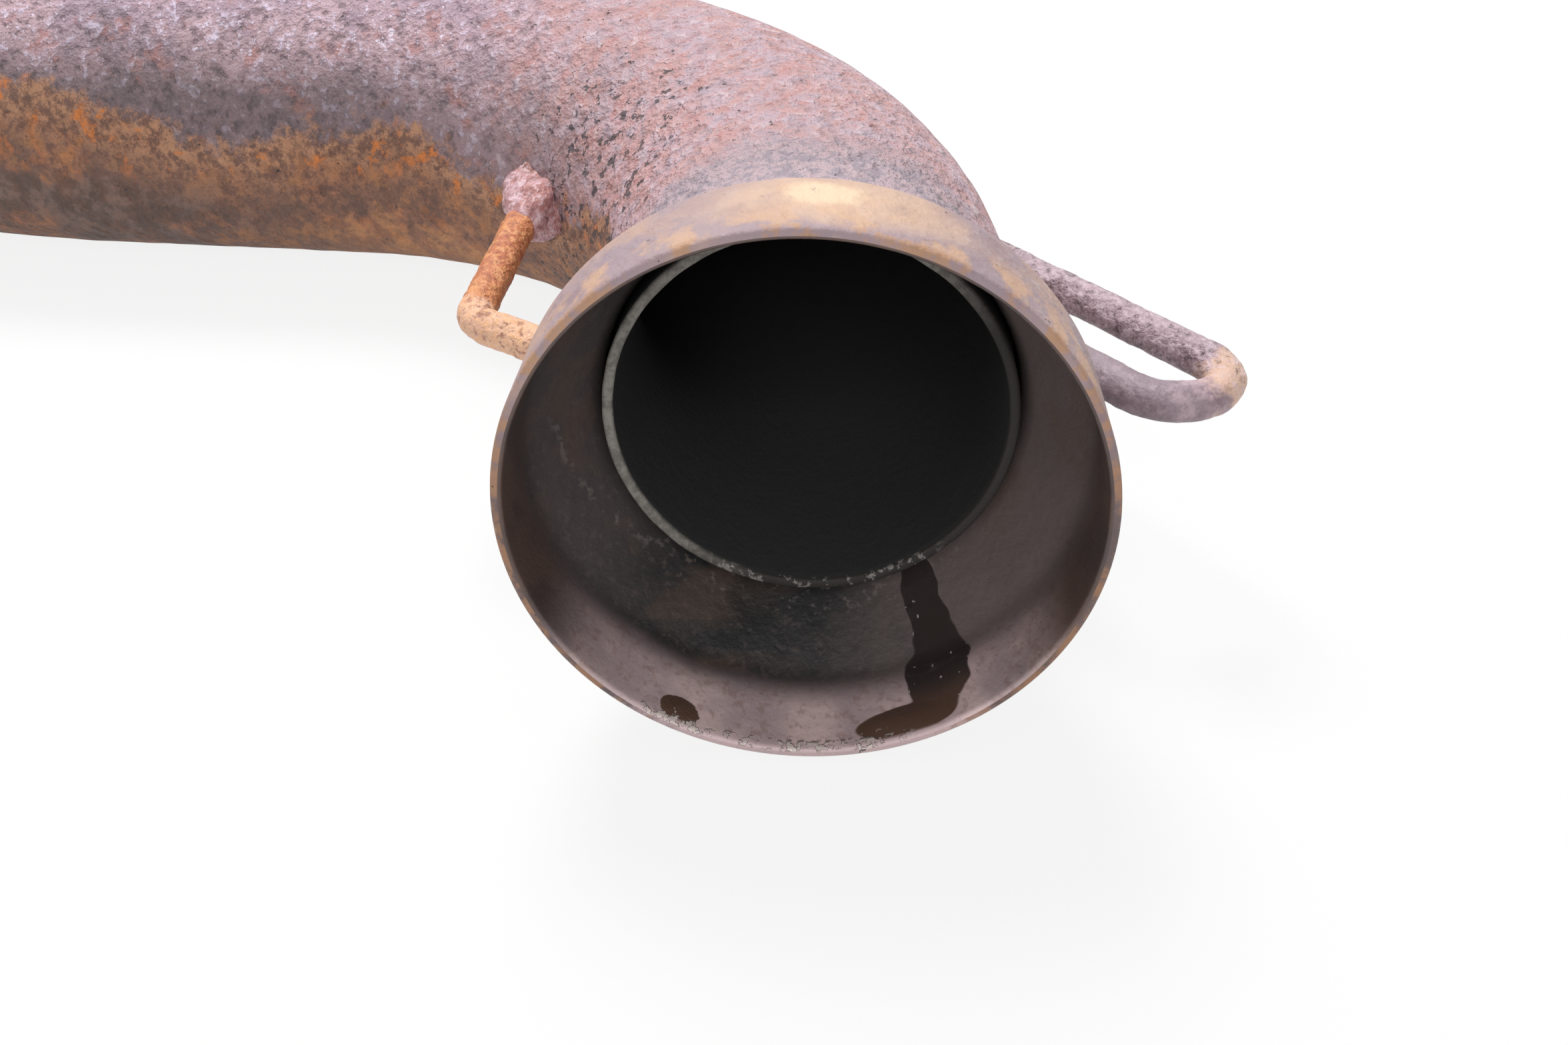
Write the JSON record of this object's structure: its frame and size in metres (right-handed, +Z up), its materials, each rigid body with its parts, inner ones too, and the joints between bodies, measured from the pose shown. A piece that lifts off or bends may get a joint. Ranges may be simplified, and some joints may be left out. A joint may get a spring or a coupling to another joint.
{
  "type": "corroded exhaust pipe",
  "caption": "Rusted bent exhaust pipe with a nested inner tube, a flared socket mouth and welded bar hooks for its joint springs.",
  "frame": {"origin": "centre of the socket's mouth, in the plane of its rim", "axes": "+Y into the socket along the level, -X towards the side that the pipe bends to, +Z up with the pipe lying at rest on a level floor"},
  "size_m": [0.3659, 0.1986, 0.0647],
  "materials": {
    "rusted_tube": "mild steel under mauve-brown scale and orange rust, pitted and matt, with a smoked dark socket",
    "sooted_tube": "mild steel tube, sooted dark grey-brown, black inside",
    "rusted_bar": "round steel bar under flaky orange and mauve rust",
    "rusted_weld": "lumpy weld metal under pink-brown scale"
  },
  "bodies": {
    "root": {"outer_tube": "rusted_tube", "inner_tube": "sooted_tube", "left_hook": "rusted_bar", "right_hook": "rusted_bar", "left_hook_welds": "rusted_weld", "right_hook_welds": "rusted_weld"}
  },
  "joints": []
}
